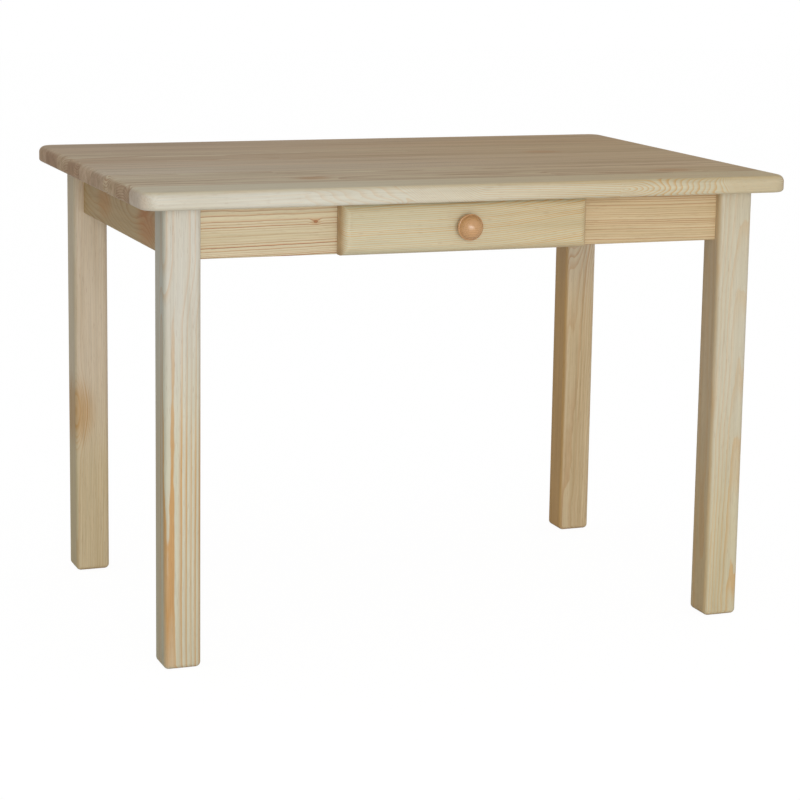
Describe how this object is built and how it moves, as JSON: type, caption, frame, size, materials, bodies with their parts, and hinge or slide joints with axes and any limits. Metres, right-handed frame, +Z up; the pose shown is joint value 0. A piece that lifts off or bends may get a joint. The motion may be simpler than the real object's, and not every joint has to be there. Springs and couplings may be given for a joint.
{
  "type": "dining table",
  "caption": "Rectangular solid pine table on square legs with rounded edges, with deep aprons and a shallow drawer with a turned knob under one long side.",
  "frame": {"origin": "on the floor, under the middle of the tabletop", "axes": "+X along the tabletop's length, -Y toward the drawer side, +Z up"},
  "size_m": [1.1, 0.75, 0.76],
  "materials": {
    "pine_top": "bare planed and sanded pine, edge-glued staves",
    "pine_leg": "bare planed pine, rounded edges",
    "pine_apron": "bare planed pine",
    "pine_block": "bare sawn pine",
    "pine_drawer": "bare planed pine",
    "beech": "bare hardwood",
    "plywood": "thin birch plywood",
    "knob_wood": "turned and clear lacquered",
    "zinc_steel": "bright zinc plated"
  },
  "bodies": {
    "table_frame": {"top_stave_1": "pine_top", "top_stave_2": "pine_top", "top_stave_3": "pine_top", "top_stave_4": "pine_top", "top_stave_5": "pine_top", "top_stave_6": "pine_top", "top_stave_7": "pine_top", "top_stave_8": "pine_top", "top_stave_9": "pine_top", "leg_front_left": "pine_leg", "corner_block_front_left": "pine_block", "leg_front_right": "pine_leg", "corner_block_front_right": "pine_block", "leg_rear_left": "pine_leg", "corner_block_rear_left": "pine_block", "leg_rear_right": "pine_leg", "corner_block_rear_right": "pine_block", "apron_front": "pine_apron", "apron_rear": "pine_apron", "apron_left": "pine_apron", "apron_right": "pine_apron", "drawer_guide_left": "pine_block", "drawer_runner_left": "beech", "drawer_guide_right": "pine_block", "drawer_runner_right": "beech", "apron_dowels": "beech", "guide_dowels": "beech", "hanger_bolts": "zinc_steel", "bolt_washers": "zinc_steel", "bolt_nuts": "zinc_steel", "corner_block_screws": "zinc_steel", "top_brackets": "zinc_steel", "bracket_screws": "zinc_steel", "runner_screws": "zinc_steel"},
    "drawer": {"drawer_front": "pine_drawer", "drawer_side_left": "pine_drawer", "drawer_side_right": "pine_drawer", "drawer_back": "pine_drawer", "drawer_bottom": "plywood", "drawer_dowels": "beech", "drawer_stop_pegs": "beech", "drawer_bottom_pins": "zinc_steel", "knob": "knob_wood", "knob_screw": "zinc_steel"}
  },
  "joints": [
    {"name": "drawer_slide", "type": "slide", "parent": "table_frame", "child": "drawer", "axis": [0, -1, 0], "range_m": [0, 0.3]}
  ]
}
